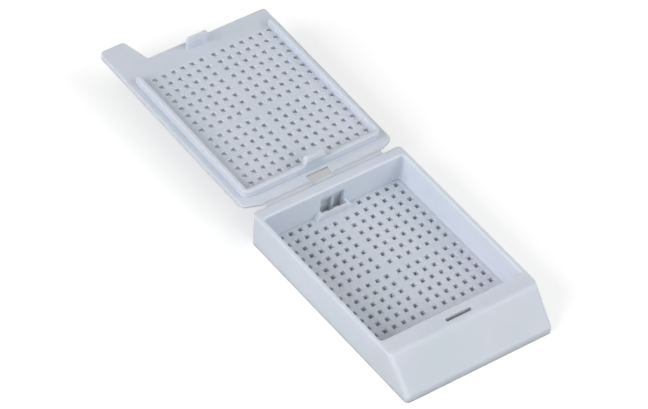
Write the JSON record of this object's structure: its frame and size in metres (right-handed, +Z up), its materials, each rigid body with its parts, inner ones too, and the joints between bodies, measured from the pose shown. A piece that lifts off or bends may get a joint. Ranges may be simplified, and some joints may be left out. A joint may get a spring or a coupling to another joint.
{
  "type": "tissue cassette",
  "caption": "Shallow perforated tissue cassette with a sloping front panel, standing open with its perforated lid folded back on a film hinge.",
  "frame": {"origin": "centre of the tray's flat underside", "axes": "+X across the width, +Y from the sloping front panel towards the hinge and the opened lid, +Z up"},
  "size_m": [0.0286, 0.0804, 0.0088],
  "materials": {
    "acetal": "matte"
  },
  "bodies": {
    "base": {"base": "acetal", "hinge_film": "acetal"},
    "lid": {"lid": "acetal"}
  },
  "joints": [
    {"name": "lid_hinge", "type": "hinge", "parent": "base", "child": "lid", "pos_m": [0, 0.02045, 0.00592], "axis": [1, 0, 0], "range_deg": [0, 178.64], "stiffness_Nm_per_rad": 0.02, "deforming": ["hinge_film"]}
  ]
}
